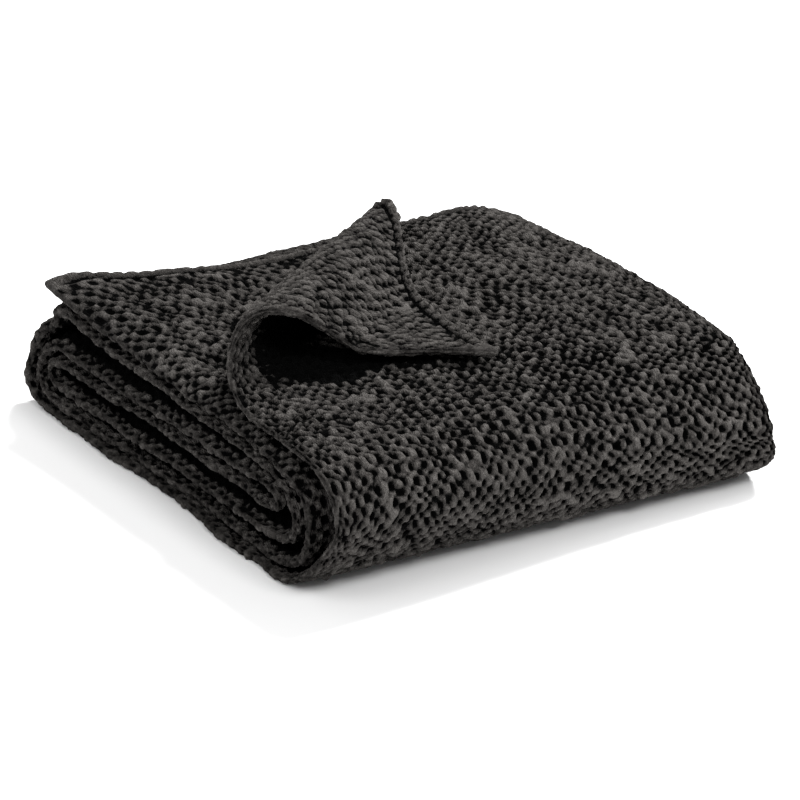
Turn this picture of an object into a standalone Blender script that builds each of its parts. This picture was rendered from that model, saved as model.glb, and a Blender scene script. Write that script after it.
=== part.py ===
"""A waffle weave cotton blanket, folded into a pack, with one corner of the top layer turned back.

It is one cloth. It runs eight times to and fro between the front and the back of the pack, from the
hem on top, round the outside and inwards to the middle, and out again to the hem just under the
first one. The pack lies on its lowest layer.

Lengths are in millimetres and the mesh is in metres. X runs along the front fold, Y from front to
back and Z up. While the pack is worked out, X = 0 is its left end and Y = 0 is where the front fold
leaves the surface. The finished mesh is moved so that the middle of its underside is the origin.
"""

from collections import namedtuple

import bmesh
import bpy
import numpy as np

MILLIMETRE = 0.001  # in metres

# --- The cloth -------------------------------------------------------------------------------
THICKNESS = 10.0  # a lofty honeycomb weave, measured over its ridges
WIDTH = 478.0  # from selvedge to selvedge, along X
HEM_Y = 343.0  # where the two hems on top end

# --- The pack, as a section across X --------------------------------------------------------
# Heights are those of the middle of the cloth, at these places from the back to the front.
STATIONS = (400.0, 300.0, 200.0, 100.0, 0.0)

# One row for each layer, in the order in which the cloth runs. The heights are those at STATIONS,
# left_x is where the left end lies and droop is how far that end hangs down.
Layer = namedtuple("Layer", "name start_y end_y heights left_x droop")
LAYERS = (
    Layer("top", HEM_Y, -40.0, (141.5, 141.5, 141.0, 138.5, 135.0), 5.0, 0.0),
    Layer("lowest", -16.0, 392.0, (5.0, 5.0, 5.0, 5.0, 5.0), -8.0, 0.0),
    Layer("third", 362.0, 34.0, (119.0, 109.5, 107.0, 106.0, 103.0), 3.0, 4.0),
    Layer("sixth", 26.0, 384.0, (35.0, 37.0, 39.0, 40.0, 38.0), -3.0, 3.0),
    Layer("fifth", 384.0, 22.0, (56.0, 59.0, 63.0, 66.0, 67.0), 3.0, 3.0),
    Layer("fourth", 22.0, 376.0, (78.0, 81.0, 85.0, 87.0, 87.0), -3.0, 6.0),
    Layer("seventh", 384.0, 12.0, (17.0, 17.0, 17.0, 17.0, 17.0), -2.0, 0.0),
    Layer("second", 12.0, HEM_Y, (126.0, 126.5, 126.5, 124.5, 121.5), 0.0, 9.0),
)

# One row for each fold, from one layer to the next. Each half of it is a quarter of a
# superellipse: 2 is round, less is flatter and more is squarer.
Fold = namedtuple("Fold", "nose_y nose_z squareness_before squareness_after")
FOLDS = (
    Fold(-108.0, 92.0, 2.2, 1.45),
    Fold(433.0, 26.0, 2.4, 1.7),
    Fold(-36.0, 64.0, 1.9, 2.2),
    Fold(403.0, 45.0, 2.0, 2.0),
    Fold(-4.0, 77.0, 2.0, 2.0),
    Fold(418.0, 38.0, 1.8, 2.2),
    Fold(-58.0, 80.0, 2.6, 1.95),
)
EASE = 5.0  # how far the stiffness of the cloth rounds each change of direction

# --- Unevenness of the pack -----------------------------------------------------------------
# The two hems are drawn out at their left corners, and hollowed behind the turned-back corner.
PULLED_BACK, PULLED_UP = 66.0, 11.0
PULL_REACH_X, PULL_REACH = 200.0, 190.0  # across the cloth, and from the hem
HEM_HOLLOW, HOLLOW_FROM_X, HOLLOW_DEEP_X = 26.0, 285.0, 345.0
HOLLOW_EASES_X, HOLLOW_EASED_X, HOLLOW_EASED_BY = 370.0, 450.0, 0.6
# Heights above SETTLED sink by these shares: at the left end, at the right end (at STATIONS) and
# at the nose of the front fold, more and more towards the right.
SETTLED = 17.0
DROOP_REACH_X, DROOP_FADE_Z = 28.0, 30.0
LEFT_SINK, LEFT_SINK_X = 0.03, 40.0
RIGHT_SINK = (0.26, 0.22, 0.15, 0.11, 0.16)
RIGHT_SINK_FROM_X, RIGHT_SINK_POWER = 320.0, 2.4
FRONT_SINK, FRONT_SINK_FROM_X, FRONT_SINK_POWER, FRONT_DEPTH = 0.42, 60.0, 1.1, 108.0
# At the right end the front fold sticks out further at its foot and less from DRAWN_IN_Z up.
FOOT_PUSHED_OUT, FRONT_DRAWN_IN, DRAWN_IN_Z = 0.12, 0.36, 95.0
RIGHT_SLANT = 0.075  # how much shorter the layers get for each millimetre further back
# The left end is hollowed at its foot.
FOOT_HOLLOW, HOLLOW_MIDDLE_Y, HOLLOW_SPREAD_Y, HOLLOW_TOP_Z, HOLLOW_DEPTH_X = 9.0, 190.0, 95.0, 40.0, 200.0

# The outermost fold at the back is pinched in, and above that it swells out at the left end.
OUTER_BACK_FOLD = 1  # its row in FOLDS
Swell = namedtuple("Swell", "height spread depth fades_out_at_x")
SWELLS = (
    Swell(97.0, 8.0, -10.0, 320.0),
    Swell(117.0, 14.0, 13.0, 110.0),
)
SWELL_MARGIN, SWELL_FROM_Y, SWELL_FADE_Y = 60.0, 350.0, 30.0

# --- The corner that is turned back ---------------------------------------------------------
NOSE_POINT = (154.5, 217.0)  # a point below the nose of the roll, in plan
ROLL_ANGLE = 38.0  # degrees between the roll and the front edge
RISE_RADIUS, CREST_RADIUS, FALL_RADIUS, LANDING_RADIUS = 33.0, 36.0, 42.0, 48.0
FALL_ANGLE = 38.0  # degrees by which the corner slopes down to the layer that it lies on
ROLL_TAPER = 0.47  # size of the roll at the hem, against its size at the selvedge
TAPER_START, TAPER_LENGTH = -150.0, 330.0  # along the roll, from its nose point
SKEW = 0.23  # share by which the soft weave slips along the roll
LYING = THICKNESS + 1.5  # height of the corner's cloth above the layer that it lies on

# --- The mesh -------------------------------------------------------------------------------
COARSE_X = (0.0, 8.0, 18.0, 30.0, 70.0, 130.0, 200.0, 270.0, 340.0, 405.0, 428.0, 447.0, 463.0)
FINE_STEP = 10.6  # spacing of the mesh where the corner is rolled over
FINE_X, FINE_LENGTH = 405.0, 306.0  # how far that part reaches across and along the cloth
TURN_STEP = 19.0  # most degrees that the cloth turns from one row to the next
LONG_STEP = 80.0  # most that two rows of a flat stretch are apart
DRAWN_STEP, DRAWN_LENGTH = 24.0, 192.0  # rows near the hem below, where the cloth is drawn out

CHARCOAL = (0.052, 0.049, 0.046, 1.0)


def smooth(value):
    """0 below 0, 1 above 1, and an even slope between."""
    value = np.clip(value, 0.0, 1.0)
    return value * value * (3.0 - 2.0 * value)


def at_stations(values, y):
    """A smooth curve through one value for each of STATIONS, read at y."""
    places = np.array(STATIONS[::-1])
    values = np.array(values[::-1])
    step = places[1] - places[0]
    place = np.clip((np.asarray(y) - places[0]) / step, 0.0, len(places) - 1.000001)
    row = place.astype(int)
    part = place - row
    values = np.concatenate([[2 * values[0] - values[1]], values, [2 * values[-1] - values[-2]]])
    before, here, there, after = (values[row + k] for k in range(4))
    slope = (there - before) * part
    bend = (2 * before - 5 * here + 4 * there - after) * part**2
    twist = (3 * here - before - 3 * there + after) * part**3
    return here + 0.5 * (slope + bend + twist)


def quarter(start, end, squareness, nose_first, steps=24):
    """Points of a quarter of a superellipse, upright at its nose and flat at its other end."""
    angle = np.linspace(0.0, np.pi / 2, steps + 1)
    rising = np.sin(angle) ** (2.0 / squareness)
    falling = np.cos(angle) ** (2.0 / squareness)
    along_y, along_z = (1.0 - falling, rising) if nose_first else (rising, 1.0 - falling)
    y = start[0] + (end[0] - start[0]) * along_y
    z = start[1] + (end[1] - start[1]) * along_z
    return np.column_stack([y, z])


def eased(values):
    """The values, one for each millimetre of cloth, with their corners rounded by EASE."""
    reach = int(3 * EASE)
    weight = np.exp(-0.5 * (np.arange(-reach, reach + 1) / EASE) ** 2)
    before = 2 * values[0] - values[reach:0:-1]
    after = 2 * values[-1] - values[-2 : -reach - 2 : -1]
    return np.convolve(np.concatenate([before, values, after]), weight / weight.sum(), "valid")


def length_along(path):
    """How far each point of a path is along it."""
    steps = np.hypot(*np.diff(path, axis=0).T)
    return np.concatenate([[0.0], np.cumsum(steps)])


def section():
    """The middle of the cloth in a section across X: its length so far, and its Y and Z.

    Also the places along the cloth at which each layer starts and ends.
    """
    pieces, ends, count = [], [], 0
    for row, layer in enumerate(LAYERS):
        y = np.linspace(layer.start_y, layer.end_y, int(abs(layer.end_y - layer.start_y) / 8))
        flat = np.column_stack([y, at_stations(layer.heights, y)])
        ends.append((count, count + len(flat) - 1))
        pieces.append(flat)
        if row < len(FOLDS):
            fold, following = FOLDS[row], LAYERS[row + 1]
            nose = (fold.nose_y, fold.nose_z)
            landing = (following.start_y, at_stations(following.heights, following.start_y))
            pieces.append(quarter(flat[-1], nose, fold.squareness_before, False)[1:])
            pieces.append(quarter(nose, landing, fold.squareness_after, True)[1:-1])
        count = sum(len(piece) for piece in pieces)
    path = np.concatenate(pieces)
    drawn = length_along(path)
    even = np.arange(0.0, drawn[-1], 1.0)
    y = eased(np.interp(even, drawn, path[:, 0]))
    z = eased(np.interp(even, drawn, path[:, 1]))
    along = length_along(np.column_stack([y, z]))
    scale = along[-1] / drawn[-1]
    return along, y, z, [(drawn[a] * scale, drawn[b] * scale) for a, b in ends]


ALONG, SECTION_Y, SECTION_Z, LAYER_ENDS = section()
LENGTH = ALONG[-1]
TOP_LENGTH = LAYER_ENDS[0][1]  # how far the top layer runs before the front fold


def by_layer(values, along):
    """One value for each layer, read anywhere along the cloth."""
    middles = [0.5 * (start + end) for start, end in LAYER_ENDS]
    return np.interp(along, middles, values)


def rolled(past, size):
    """Where the cloth is in a section across the roll: how far beyond its lift-off line, and how high.

    past is the length of cloth beyond that line. The cloth rises, turns over the crest, slopes
    down and lies flat again.
    """
    fall = np.radians(FALL_ANGLE)
    rise, crest, over = RISE_RADIUS * size, CREST_RADIUS * size, FALL_RADIUS * size
    top_height = rise + crest - over * (1 - np.cos(fall))
    slope = (top_height - LYING - LANDING_RADIUS * (1 - np.cos(fall))) / np.sin(fall)
    left = np.maximum(past, 0.0)

    angle = np.clip(left / rise, 0.0, np.pi / 2)
    out, up = rise * np.sin(angle), rise * (1 - np.cos(angle))
    left = left - rise * np.pi / 2
    angle = np.clip(left / crest, 0.0, np.pi / 2)
    out, up = out - crest * (1 - np.cos(angle)), up + crest * np.sin(angle)
    left = left - crest * np.pi / 2
    angle = np.clip(left / over, 0.0, fall)
    out, up = out - over * np.sin(angle), up - over * (1 - np.cos(angle))
    left = left - over * fall
    straight = np.clip(left, 0.0, slope)
    out, up = out - straight * np.cos(fall), up - straight * np.sin(fall)
    left = left - slope
    angle = np.clip(left / LANDING_RADIUS, 0.0, fall)
    out = out - LANDING_RADIUS * (np.sin(fall) - np.sin(fall - angle))
    up = up - LANDING_RADIUS * (np.cos(fall - angle) - np.cos(fall))
    left = left - LANDING_RADIUS * fall
    return out - np.maximum(left, 0.0), up


def place(across, along):
    """The middle of the cloth in space, for a share of its width and a length along it."""
    x_left = by_layer([layer.left_x for layer in LAYERS], along)
    x = x_left + across * (WIDTH - x_left)
    y = np.interp(along, ALONG, SECTION_Y)
    z = np.interp(along, ALONG, SECTION_Z)
    for from_hem in (along, LENGTH - along):
        near = np.clip(1 - from_hem / PULL_REACH, 0.0, 1.0) ** 2
        corner = near * np.clip(1 - x / PULL_REACH_X, 0.0, 1.0) ** 2
        hollow = smooth((x - HOLLOW_FROM_X) / (HOLLOW_DEEP_X - HOLLOW_FROM_X))
        eased_off = smooth((x - HOLLOW_EASES_X) / (HOLLOW_EASED_X - HOLLOW_EASES_X))
        hollow = hollow * (1 - HOLLOW_EASED_BY * eased_off)
        y = y + PULLED_BACK * corner - HEM_HOLLOW * near * hollow
        z = z + PULLED_UP * corner
    x, y, z = turn_back(x, y, z, along)
    fold_start = LAYER_ENDS[OUTER_BACK_FOLD][1] - SWELL_MARGIN
    fold_end = LAYER_ENDS[OUTER_BACK_FOLD + 1][0] + SWELL_MARGIN
    for swell in SWELLS:
        depth = swell.depth * np.exp(-(((z - swell.height) / swell.spread) ** 2))
        depth = depth * (1 - smooth(x / swell.fades_out_at_x))
        depth = depth * smooth((y - SWELL_FROM_Y) / SWELL_FADE_Y)
        y = np.where((along > fold_start) & (along < fold_end), y + depth, y)
    return settle(x, y, z, along)


def turn_back(x, y, z, along):
    """Rolls the left back corner of the top layer over, towards the front and the right."""
    angle = np.radians(ROLL_ANGLE)
    roll_way = np.array([np.cos(angle), np.sin(angle)])
    corner_way = np.array([-roll_way[1], roll_way[0]])
    lift_off = np.array(NOSE_POINT) - RISE_RADIUS * corner_way
    past = (x - lift_off[0]) * corner_way[0] + (y - lift_off[1]) * corner_way[1]
    beside = (x - lift_off[0]) * roll_way[0] + (y - lift_off[1]) * roll_way[1]
    size = 1.0 + (ROLL_TAPER - 1.0) * np.clip((beside - TAPER_START) / TAPER_LENGTH, 0.0, 1.0)
    out, up = rolled(past, size)
    beside = beside - SKEW * np.maximum(past - RISE_RADIUS * np.pi / 2, 0.0)
    turned = (along < TOP_LENGTH) & (past > 0.0)
    new_x = lift_off[0] + beside * roll_way[0] + out * corner_way[0]
    new_y = lift_off[1] + beside * roll_way[1] + out * corner_way[1]
    new_z = at_stations(LAYERS[0].heights, new_y) + up
    return np.where(turned, new_x, x), np.where(turned, new_y, y), np.where(turned, new_z, z)


def settle(x, y, z, along):
    """Makes the even pack as uneven as it lies."""
    droop = by_layer([layer.droop for layer in LAYERS], along)
    droop = droop * np.clip(1 - x / DROOP_REACH_X, 0.0, 1.0) ** 2
    droop = droop * smooth((z - SETTLED) / DROOP_FADE_Z)
    z = np.where(along < TOP_LENGTH, z, z - droop)

    left = np.clip(1 - x / LEFT_SINK_X, 0.0, 1.0) ** 2
    right = np.clip((x - RIGHT_SINK_FROM_X) / (WIDTH - RIGHT_SINK_FROM_X), 0.0, 1.0) ** RIGHT_SINK_POWER
    towards_right = smooth((x - FRONT_SINK_FROM_X) / (WIDTH - FRONT_SINK_FROM_X))
    in_front = np.clip(-y / FRONT_DEPTH, 0.0, 1.0) ** FRONT_SINK_POWER
    kept = 1 - right * at_stations(RIGHT_SINK, y) - LEFT_SINK * left
    kept = kept * (1 - FRONT_SINK * towards_right * in_front)
    sunk = np.where(z > SETTLED, SETTLED + (z - SETTLED) * kept, z)

    share = smooth(x / WIDTH)
    stretch = FOOT_PUSHED_OUT - (FOOT_PUSHED_OUT + FRONT_DRAWN_IN) * smooth(z / DRAWN_IN_Z)
    y = np.where(y < 0.0, y * (1 + share * stretch), y)
    hollow = FOOT_HOLLOW * np.exp(-(((y - HOLLOW_MIDDLE_Y) / HOLLOW_SPREAD_Y) ** 2))
    hollow = hollow * np.clip(1 - z / HOLLOW_TOP_Z, 0.0, 1.0) * (1 - smooth(x / HOLLOW_DEPTH_X))
    return x + hollow - RIGHT_SLANT * np.clip(y, 0.0, None) * share, y, sunk


def surface(across, along):
    """Points on both faces of the cloth, half its thickness from its middle."""
    def middle(u, v):
        return np.stack(place(u, v), axis=-1)

    sideways = middle(across + 0.001, along) - middle(across - 0.001, along)
    forwards = middle(across, along + 0.5) - middle(across, along - 0.5)
    normal = np.cross(sideways, forwards)
    normal /= np.linalg.norm(normal, axis=-1, keepdims=True)
    centre = middle(across, along)
    return centre + normal * THICKNESS / 2, centre - normal * THICKNESS / 2


def row_places():
    """Where the rows of the mesh cross the cloth: close where it turns, far apart where it lies flat."""
    heading = np.unwrap(np.arctan2(np.gradient(SECTION_Z, ALONG), np.gradient(SECTION_Y, ALONG)))
    turning = np.abs(np.gradient(heading, ALONG))
    density = turning / np.radians(TURN_STEP) + 1.0 / LONG_STEP
    density = np.where(ALONG < FINE_LENGTH, 1.0 / FINE_STEP, density)
    density = np.where(ALONG > LENGTH - DRAWN_LENGTH, 1.0 / DRAWN_STEP, density)
    count = np.concatenate([[0.0], np.cumsum(0.5 * (density[1:] + density[:-1]) * np.diff(ALONG))])
    rows = int(round(count[-1]))
    return np.interp(np.linspace(0.0, count[-1], rows + 1), count, ALONG)


def row_columns(along):
    """The shares of the width at which one row has its points."""
    if along < FINE_LENGTH:
        steps = int(round(FINE_X / FINE_STEP))
        x = list(np.linspace(0.0, FINE_X, steps + 1)) + [v for v in COARSE_X if v > FINE_X]
    else:
        x = list(COARSE_X)
    return np.array(x + [WIDTH]) / WIDTH


def strip(first, second, across_first, across_second):
    """Triangles between two rows of points, which may differ in how many points they have."""
    triangles, i, j = [], 0, 0
    while i < len(first) - 1 or j < len(second) - 1:
        last_i, last_j = i == len(first) - 1, j == len(second) - 1
        if last_j or (not last_i and across_first[i + 1] <= across_second[j + 1]):
            triangles.append((first[i], first[i + 1], second[j]))
            i += 1
        else:
            triangles.append((first[i], second[j + 1], second[j]))
            j += 1
    return triangles


def blanket_mesh():
    """Both faces of the cloth and the narrow face all round its edge, as one closed mesh."""
    upper_points, lower_points, rows, count = [], [], [], 0
    for along in row_places():
        across = row_columns(along)
        upper, lower = surface(across, np.full_like(across, along))
        upper_points.append(upper)
        lower_points.append(lower)
        rows.append((list(range(count, count + len(across))), across))
        count += len(across)
    triangles = []
    for (first, across_first), (second, across_second) in zip(rows, rows[1:]):
        for a, b, c in strip(first, second, across_first, across_second):
            triangles.append((a, b, c))
            triangles.append((count + c, count + b, count + a))
    edge = list(rows[0][0])
    edge += [row[-1] for row, _ in rows[1:]]
    edge += rows[-1][0][-2::-1]
    edge += [row[0] for row, _ in rows[-2:0:-1]]
    for a, b in zip(edge, edge[1:] + edge[:1]):
        triangles.append((b, a, count + a))
        triangles.append((b, count + a, count + b))
    points = np.concatenate(upper_points + lower_points)
    low, high = points.min(axis=0), points.max(axis=0)
    points -= np.array([(low[0] + high[0]) / 2, (low[1] + high[1]) / 2, low[2]])
    return points * MILLIMETRE, triangles


def cotton():
    material = bpy.data.materials.new("charcoal_cotton")
    material.use_nodes = True
    shader = material.node_tree.nodes["Principled BSDF"]
    shader.inputs["Base Color"].default_value = CHARCOAL
    shader.inputs["Roughness"].default_value = 0.95
    shader.inputs["Metallic"].default_value = 0.0
    return material


def build():
    for thing in list(bpy.data.objects):
        bpy.data.objects.remove(thing, do_unlink=True)
    points, triangles = blanket_mesh()
    mesh = bpy.data.meshes.new("blanket")
    mesh.from_pydata([tuple(point) for point in points], [], triangles)
    shape = bmesh.new()
    shape.from_mesh(mesh)
    bmesh.ops.recalc_face_normals(shape, faces=shape.faces)
    shape.to_mesh(mesh)
    shape.free()
    mesh.shade_smooth()
    mesh.set_sharp_from_angle(angle=np.radians(50.0))
    blanket = bpy.data.objects.new("blanket", mesh)
    blanket.data.materials.append(cotton())
    bpy.context.scene.collection.objects.link(blanket)
    print("blanket:", len(triangles), "triangles; cloth", round(WIDTH), "x", round(LENGTH), "mm")


build()
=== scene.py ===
# %% [markdown]
# # A folded waffle weave blanket
#
# The real thing is one thick cotton cloth in a honeycomb weave. It is folded to and fro into a low
# pack, and one corner of the top layer is turned back in a soft roll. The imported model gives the
# size and the folds. This script dresses it: it lays the weave over the same folds as real relief,
# dyes the yarn charcoal, and sets up the floor, the light and the camera.

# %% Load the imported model
from collections import namedtuple

import bpy
import numpy as np
from mathutils import Matrix, Vector


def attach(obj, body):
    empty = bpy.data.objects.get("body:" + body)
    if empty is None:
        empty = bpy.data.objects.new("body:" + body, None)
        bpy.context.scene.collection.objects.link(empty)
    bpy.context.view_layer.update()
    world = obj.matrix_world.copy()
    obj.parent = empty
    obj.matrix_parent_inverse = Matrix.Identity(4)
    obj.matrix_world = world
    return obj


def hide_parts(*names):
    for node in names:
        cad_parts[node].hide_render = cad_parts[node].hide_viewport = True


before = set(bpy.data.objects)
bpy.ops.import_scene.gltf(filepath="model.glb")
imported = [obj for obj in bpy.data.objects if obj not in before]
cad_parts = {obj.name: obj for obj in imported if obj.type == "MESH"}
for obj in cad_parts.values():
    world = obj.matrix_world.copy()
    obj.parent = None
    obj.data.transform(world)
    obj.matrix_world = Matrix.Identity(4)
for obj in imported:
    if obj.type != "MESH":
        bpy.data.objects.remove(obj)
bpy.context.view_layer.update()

# %% [markdown]
# ## The folds
#
# The cloth could be draped by a simulation, but a fold that has to match a photograph is easier to
# steer as a curve. So a section across the pack is drawn from a table of flat layers and a table of
# folds, and the cloth follows it. Lengths are in millimetres here. X runs along the front fold from
# the left end, Y runs back from where the front fold leaves the floor, and Z is height. These are
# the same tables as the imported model's own.

# %% The tables of layers and folds
MILLIMETRE = 0.001  # in metres
WIDTH = 478.0  # from selvedge to selvedge
THICKNESS = 10.0
HEM_Y = 343.0  # where the two hems on top end
STATIONS = (400.0, 300.0, 200.0, 100.0, 0.0)  # the heights of a layer are given at these y

Layer = namedtuple("Layer", "name start_y end_y heights left_x droop")
LAYERS = (
    Layer("top", HEM_Y, -40.0, (141.5, 141.5, 141.0, 138.5, 135.0), 5.0, 0.0),
    Layer("lowest", -16.0, 392.0, (5.0, 5.0, 5.0, 5.0, 5.0), -8.0, 0.0),
    Layer("third", 362.0, 34.0, (119.0, 109.5, 107.0, 106.0, 103.0), 3.0, 4.0),
    Layer("sixth", 26.0, 384.0, (35.0, 37.0, 39.0, 40.0, 38.0), -3.0, 3.0),
    Layer("fifth", 384.0, 22.0, (56.0, 59.0, 63.0, 66.0, 67.0), 3.0, 3.0),
    Layer("fourth", 22.0, 376.0, (78.0, 81.0, 85.0, 87.0, 87.0), -3.0, 6.0),
    Layer("seventh", 384.0, 12.0, (17.0, 17.0, 17.0, 17.0, 17.0), -2.0, 0.0),
    Layer("second", 12.0, HEM_Y, (126.0, 126.5, 126.5, 124.5, 121.5), 0.0, 9.0),
)
Fold = namedtuple("Fold", "nose_y nose_z squareness_before squareness_after")
FOLDS = (
    Fold(-108.0, 92.0, 2.2, 1.45),
    Fold(433.0, 26.0, 2.4, 1.7),
    Fold(-36.0, 64.0, 1.9, 2.2),
    Fold(403.0, 45.0, 2.0, 2.0),
    Fold(-4.0, 77.0, 2.0, 2.0),
    Fold(418.0, 38.0, 1.8, 2.2),
    Fold(-58.0, 80.0, 2.6, 1.95),
)
print(len(LAYERS), "layers and", len(FOLDS), "folds")


# %% Curves for a layer and for a fold
def smooth(value):
    """0 below 0, 1 above 1, and an even slope between."""
    value = np.clip(value, 0.0, 1.0)
    return value * value * (3.0 - 2.0 * value)


def hill(value, middle, spread):
    """1 at its middle, and nearly 0 from two spreads away."""
    return np.exp(-(((value - middle) / spread) ** 2))


def at_stations(values, y):
    """A smooth curve through one value for each of STATIONS, read at y."""
    places = np.array(STATIONS[::-1])
    values = np.array(values[::-1])
    place = np.clip((np.asarray(y) - places[0]) / (places[1] - places[0]), 0.0, len(places) - 1.000001)
    row = place.astype(int)
    part = place - row
    values = np.concatenate([[2 * values[0] - values[1]], values, [2 * values[-1] - values[-2]]])
    before, here, there, after = (values[row + k] for k in range(4))
    slope = (there - before) * part
    bend = (2 * before - 5 * here + 4 * there - after) * part**2
    twist = (3 * here - before - 3 * there + after) * part**3
    return here + 0.5 * (slope + bend + twist)


def quarter(start, end, squareness, nose_first, steps=24):
    """Half a fold: a quarter of a superellipse, upright at its nose and flat at its other end."""
    angle = np.linspace(0.0, np.pi / 2, steps + 1)
    rising = np.sin(angle) ** (2.0 / squareness)
    falling = np.cos(angle) ** (2.0 / squareness)
    along_y, along_z = (1.0 - falling, rising) if nose_first else (rising, 1.0 - falling)
    y = start[0] + (end[0] - start[0]) * along_y
    z = start[1] + (end[1] - start[1]) * along_z
    return np.column_stack([y, z])


print("the top layer is", round(float(at_stations(LAYERS[0].heights, 150.0))), "mm up at its middle")

# %% One section through all the layers and folds
EASE = 5.0  # how far the stiffness of the cloth rounds each change of direction


def eased(values):
    reach = int(3 * EASE)
    weight = np.exp(-0.5 * (np.arange(-reach, reach + 1) / EASE) ** 2)
    before = 2 * values[0] - values[reach:0:-1]
    after = 2 * values[-1] - values[-2 : -reach - 2 : -1]
    return np.convolve(np.concatenate([before, values, after]), weight / weight.sum(), "valid")


def length_along(path):
    steps = np.hypot(*np.diff(path, axis=0).T)
    return np.concatenate([[0.0], np.cumsum(steps)])


def section():
    """The middle of the cloth at each millimetre of its length, and where each layer is on it."""
    pieces, ends, count = [], [], 0
    for row, layer in enumerate(LAYERS):
        y = np.linspace(layer.start_y, layer.end_y, int(abs(layer.end_y - layer.start_y) / 8))
        flat = np.column_stack([y, at_stations(layer.heights, y)])
        ends.append((count, count + len(flat) - 1))
        pieces.append(flat)
        if row < len(FOLDS):
            fold, following = FOLDS[row], LAYERS[row + 1]
            nose = (fold.nose_y, fold.nose_z)
            landing = (following.start_y, at_stations(following.heights, following.start_y))
            pieces.append(quarter(flat[-1], nose, fold.squareness_before, False)[1:])
            pieces.append(quarter(nose, landing, fold.squareness_after, True)[1:-1])
        count = sum(len(piece) for piece in pieces)
    path = np.concatenate(pieces)
    drawn = length_along(path)
    even = np.arange(0.0, drawn[-1], 1.0)
    y = eased(np.interp(even, drawn, path[:, 0]))
    z = eased(np.interp(even, drawn, path[:, 1]))
    along = length_along(np.column_stack([y, z]))
    scale = along[-1] / drawn[-1]
    return along, y, z, [(drawn[a] * scale, drawn[b] * scale) for a, b in ends]


ALONG, SECTION_Y, SECTION_Z, LAYER_ENDS = section()
LENGTH = ALONG[-1]
TOP_LENGTH = LAYER_ENDS[0][1]
print("the cloth is", round(WIDTH), "by", round(LENGTH), "mm")

# %% [markdown]
# ## The corner that is turned back
#
# A corner folded over makes a roll that is fat at the selvedge and thin at the hem. Bending the
# cloth round a cone would do it. Here each point is moved in a section across the roll instead:
# up, over the crest, down a slope and flat again, with a size that tapers along the roll.

# %% The section across the roll
RISE_RADIUS, CREST_RADIUS, FALL_RADIUS, LANDING_RADIUS = 33.0, 36.0, 42.0, 48.0
FALL_ANGLE = 38.0  # degrees by which the corner slopes down to the layer that it lies on
LYING = THICKNESS + 1.5  # height of the corner's cloth above that layer


def rolled(past, size):
    """How far out and up a point is that lies past the line where a roll of this size begins."""
    fall = np.radians(FALL_ANGLE)
    rise, crest, over = RISE_RADIUS * size, CREST_RADIUS * size, FALL_RADIUS * size
    top_height = rise + crest - over * (1 - np.cos(fall))
    slope = (top_height - LYING - LANDING_RADIUS * (1 - np.cos(fall))) / np.sin(fall)
    left = np.maximum(past, 0.0)

    angle = np.clip(left / rise, 0.0, np.pi / 2)
    out, up = rise * np.sin(angle), rise * (1 - np.cos(angle))
    left = left - rise * np.pi / 2
    angle = np.clip(left / crest, 0.0, np.pi / 2)
    out, up = out - crest * (1 - np.cos(angle)), up + crest * np.sin(angle)
    left = left - crest * np.pi / 2
    angle = np.clip(left / over, 0.0, fall)
    out, up = out - over * np.sin(angle), up - over * (1 - np.cos(angle))
    left = left - over * fall
    straight = np.clip(left, 0.0, slope)
    out, up = out - straight * np.cos(fall), up - straight * np.sin(fall)
    left = left - slope
    angle = np.clip(left / LANDING_RADIUS, 0.0, fall)
    out = out - LANDING_RADIUS * (np.sin(fall) - np.sin(fall - angle))
    up = up - LANDING_RADIUS * (np.cos(fall - angle) - np.cos(fall))
    left = left - LANDING_RADIUS * fall
    return out - np.maximum(left, 0.0), up


print("the roll is", RISE_RADIUS + CREST_RADIUS, "mm high at the selvedge")

# %% Roll the corner over
NOSE_POINT = (154.5, 217.0)  # a point below the nose of the roll
ROLL_ANGLE = 38.0  # degrees between the roll and the front edge
ROLL_TAPER, TAPER_START, TAPER_LENGTH = 0.47, -150.0, 330.0
SKEW = 0.23  # share by which the soft weave slips along the roll
FREE_EDGE_LIFT, LIFT_REACH = 8.5, 45.0  # the selvedge of the corner stands off the layer below
LIES_FROM, LIES_WITHIN = 100.0, 12.0  # past the roll, and no higher than this above LYING

roll_way = np.array([np.cos(np.radians(ROLL_ANGLE)), np.sin(np.radians(ROLL_ANGLE))])
corner_way = np.array([-roll_way[1], roll_way[0]])
lift_off = np.array(NOSE_POINT) - RISE_RADIUS * corner_way


def past_lift_off(x, y):
    """How far a point of the flat top layer is past the line where the roll begins to rise."""
    return (x - lift_off[0]) * corner_way[0] + (y - lift_off[1]) * corner_way[1]


def turn_back(x, y, z, along):
    """Move the points of the top layer that are past the lift-off line over the roll."""
    past = past_lift_off(x, y)
    beside = (x - lift_off[0]) * roll_way[0] + (y - lift_off[1]) * roll_way[1]
    size = 1.0 + (ROLL_TAPER - 1.0) * np.clip((beside - TAPER_START) / TAPER_LENGTH, 0.0, 1.0)
    out, up = rolled(past, size)
    lies = smooth((past - LIES_FROM) / 40.0) * (1 - smooth((up - LYING) / LIES_WITHIN))
    up = up + FREE_EDGE_LIFT * lies * np.exp(-np.maximum(x, 0.0) / LIFT_REACH)
    beside = beside - SKEW * np.maximum(past - RISE_RADIUS * np.pi / 2, 0.0)
    turned = (along < TOP_LENGTH) & (past > 0.0)
    new_x = lift_off[0] + beside * roll_way[0] + out * corner_way[0]
    new_y = lift_off[1] + beside * roll_way[1] + out * corner_way[1]
    new_z = at_stations(LAYERS[0].heights, new_y) + up
    return np.where(turned, new_x, x), np.where(turned, new_y, y), np.where(turned, new_z, z)


print("the roll begins", round(float(-past_lift_off(0.0, 0.0))), "mm from the front left corner")

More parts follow.
